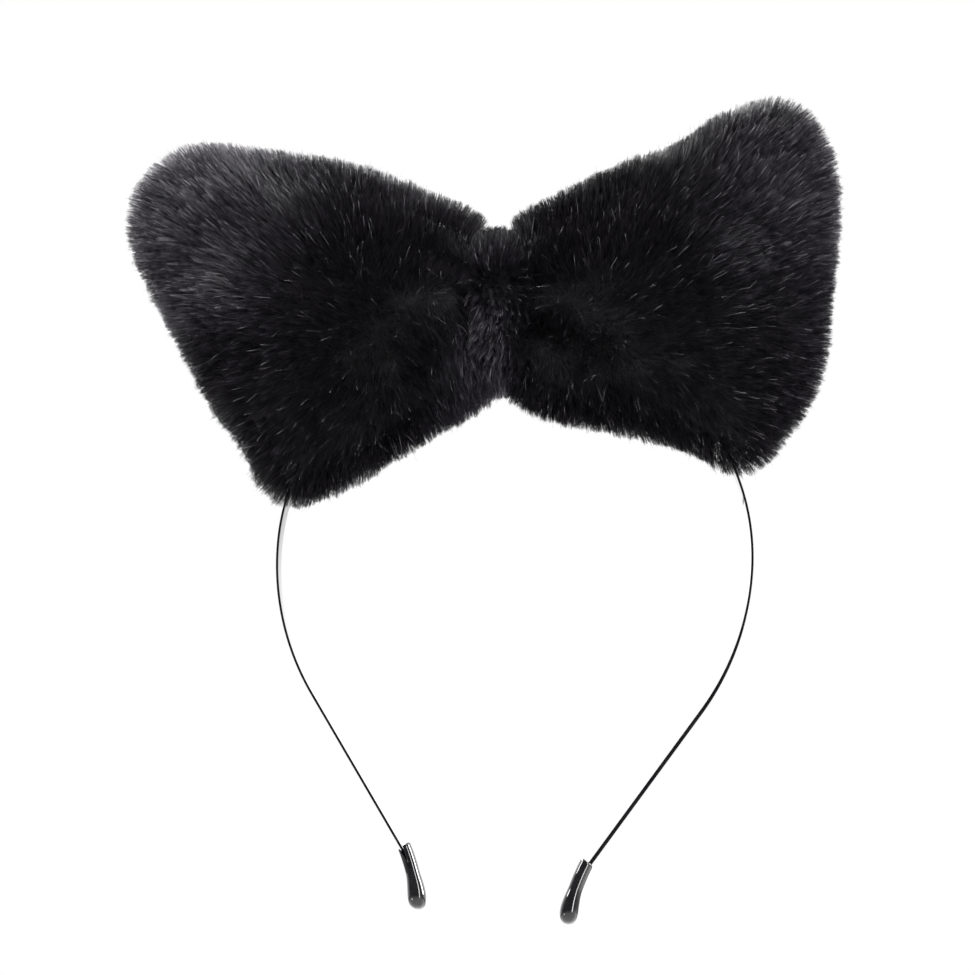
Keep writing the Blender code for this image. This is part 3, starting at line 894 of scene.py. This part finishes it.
def wrap_surface(rows=64, columns=12):
    """Rounded ring of fur cloth round the knot."""
    half_length = 5.0 * MM
    middle = 24.0 * MM
    angles = 2.0 * np.pi * np.arange(rows) / rows
    points = []
    for column in range(columns + 1):
        share = column / columns * 2.0 - 1.0
        shrink = 2.5 * MM * share**4
        y = (10.5 * MM - shrink) * np.cos(angles)
        z = middle + (18.4 * MM - shrink) * np.sin(angles)
        points.append(np.stack((np.full(rows, share * half_length), y, z), axis=1))
    faces = []
    for column in range(columns):
        for row in range(rows):
            after = (row + 1) % rows
            low = column * rows
            faces.append((low + row, low + after, low + rows + after, low + rows + row))
    return np.concatenate(points), faces


points, faces = wrap_surface()
wrap = new_object("knot_wrap_cloth", points, faces, backing)
fix_normals(wrap)
rng = np.random.default_rng(77)
roots, normals = scatter(read_surface(wrap), WRAP_STRANDS, rng)
comb = np.zeros_like(roots)
comb[:, 2] = 1.1 * np.tanh((roots[:, 2] - CROWN_HEIGHT - 13.0 * MM) / (5.0 * MM))
comb[:, 0] = 0.3 * smooth((roots[:, 2] - CROWN_HEIGHT) / (18.0 * MM))
strands, shade = grow(roots, normals, comb, rng, WRAP_PILE_LENGTH)
# Painted sheen on the lower left of the wrap's pile, beside and below the knot.
sheen = 0.4 * beside_and_below(roots) * (1.0 - smooth(roots[:, 0] / (5.0 * MM)))
shade = np.minimum(shade + sheen, 1.0)
wrap_pile = ribbons("knot_wrap_pile", strands, shade, rng, STRAND_WIDTH, wrap_fur)
thicken(wrap, CLOTH_THICKNESS)
for piece in (wrap, wrap_pile):
    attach(piece, "crown")
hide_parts("knot_wrap")

# Stage, light and camera

FLOOR_DROP = 150.0 * MM
WORLD_FRONT = 0.05
WORLD_BACK = 1.7
CAMERA_TARGET = np.array((-6.4, 0.0, -28.75)) * MM
CAMERA_DISTANCE = 0.62
CAMERA_AZIMUTH = math.radians(4.0)
CAMERA_ELEVATION = math.radians(-15.0)
CAMERA_ROLL = math.radians(2.9)
VIEW_WIDTH = 279.15 * MM


def backdrop_material():
    """Pale where the camera looks, and greyer in reflections, so that the black pieces stay black."""
    nodes = Nodes("pale_floor")
    cloud = nodes.add("ShaderNodeTexNoise", Scale=2.0)
    lit = nodes.ramp(cloud.outputs["Fac"], ((0.0, grey(0.28)), (1.0, grey(0.31))))
    seen = nodes.ramp(cloud.outputs["Fac"], ((0.0, grey(0.96)), (1.0, grey(0.99))))
    rays = nodes.add("ShaderNodeLightPath")
    tint = nodes.add("ShaderNodeMix", data_type="RGBA")
    nodes.link(rays.outputs["Is Camera Ray"], tint.inputs["Factor"])
    nodes.link(lit, tint.inputs["A"])
    nodes.link(seen, tint.inputs["B"])
    nodes.link(tint.outputs["Result"], nodes.shader.inputs["Base Color"])
    nodes.set(Roughness=0.8)
    return nodes.material


floor_z = float(cad_low[2]) - FLOOR_DROP
corners = [(x, y, floor_z) for x, y in ((-4, -4), (4, -4), (4, 4), (-4, 4))]
floor = new_object("floor", np.array(corners, float), [(0, 1, 2, 3)], backdrop_material())


def turned(vector):
    """Turns a direction with the bow, which leans a little to the left in the view."""
    x, y, z = vector
    c, s = math.cos(CAMERA_ROLL), math.sin(CAMERA_ROLL)
    return Vector((x * c + z * s, y, z * c - x * s))


def add_camera():
    data = bpy.data.cameras.new("camera")
    data.sensor_width = 36.0
    data.lens = 36.0 * CAMERA_DISTANCE / VIEW_WIDTH
    data.clip_start = 0.01
    camera = bpy.data.objects.new("camera", data)
    bpy.context.scene.collection.objects.link(camera)
    a, e = CAMERA_AZIMUTH, CAMERA_ELEVATION
    back = turned((math.sin(a) * math.cos(e), -math.cos(a) * math.cos(e), math.sin(e)))
    right = turned((math.cos(a), math.sin(a), 0.0))
    up = back.cross(right)
    turn = Matrix((right, up, back)).transposed().to_4x4()
    camera.matrix_world = Matrix.Translation(Vector(CAMERA_TARGET) + back * CAMERA_DISTANCE) @ turn
    bpy.context.scene.camera = camera


def add_light(name, place, target, size, power, size_y=None):
    data = bpy.data.lights.new(name, "AREA")
    data.energy = power
    data.shape = "RECTANGLE" if size_y else "SQUARE"
    data.size = size
    if size_y:
        data.size_y = size_y
    light = bpy.data.objects.new(name, data)
    light.location = place
    aim = Vector(target) - Vector(place)
    light.rotation_euler = aim.to_track_quat("-Z", "Y").to_euler()
    light.visible_camera = False
    bpy.context.scene.collection.objects.link(light)


def add_world():
    """White where the camera looks; as light, bright behind the object and dim in front of it."""
    world = bpy.data.worlds.new("studio")
    world.use_nodes = True
    tree = world.node_tree
    lit = tree.nodes["Background"]
    seen = tree.nodes.new("ShaderNodeBackground")
    rays = tree.nodes.new("ShaderNodeLightPath")
    mix = tree.nodes.new("ShaderNodeMixShader")
    place = tree.nodes.new("ShaderNodeTexCoord")
    axes = tree.nodes.new("ShaderNodeSeparateXYZ")
    fade = tree.nodes.new("ShaderNodeMapRange")
    fade.interpolation_type = "SMOOTHSTEP"
    fade.inputs["From Min"].default_value = -0.5
    fade.inputs["From Max"].default_value = 0.5
    fade.inputs["To Min"].default_value = WORLD_FRONT
    fade.inputs["To Max"].default_value = WORLD_BACK
    tree.links.new(place.outputs["Generated"], axes.inputs["Vector"])
    tree.links.new(axes.outputs["Y"], fade.inputs["Value"])
    tree.links.new(fade.outputs["Result"], lit.inputs["Strength"])
    for background in (lit, seen):
        background.inputs["Color"].default_value = (1.0, 1.0, 1.0, 1.0)
    tree.links.new(rays.outputs["Is Camera Ray"], mix.inputs["Fac"])
    tree.links.new(lit.outputs["Background"], mix.inputs[1])
    tree.links.new(seen.outputs["Background"], mix.inputs[2])
    tree.links.new(mix.outputs["Shader"], tree.nodes["World Output"].inputs["Surface"])
    bpy.context.scene.world = world


add_camera()
add_world()
add_light("wide_top", (-0.10, -0.14, 0.74), (-0.02, 0.0, 0.02), 1.0, 8.0, 0.30)
add_light("upper_left", (-0.62, -0.10, 0.42), (0.06, 0.0, 0.02), 0.30, 9.0)
add_light("upper_right", (0.50, -0.05, 0.60), (-0.06, 0.0, 0.02), 0.30, 11.0)
add_light("back_top_left", (-0.45, 0.40, 0.60), (-0.05, 0.0, 0.05), 0.40, 34.0)
add_light("tall_front_right", (0.30, -0.50, -0.10), (0.0, 0.0, -0.10), 0.14, 3.2, 0.38)
add_light("side_right", (0.68, 0.20, 0.10), (0.05, 0.0, 0.02), 0.35, 13.0)
add_light("low_left", (-0.26, -0.22, -0.28), (-0.03, 0.0, -0.15), 0.05, 0.25)
bpy.context.scene.view_settings.view_transform = "Standard"
bpy.context.scene.view_settings.look = "None"
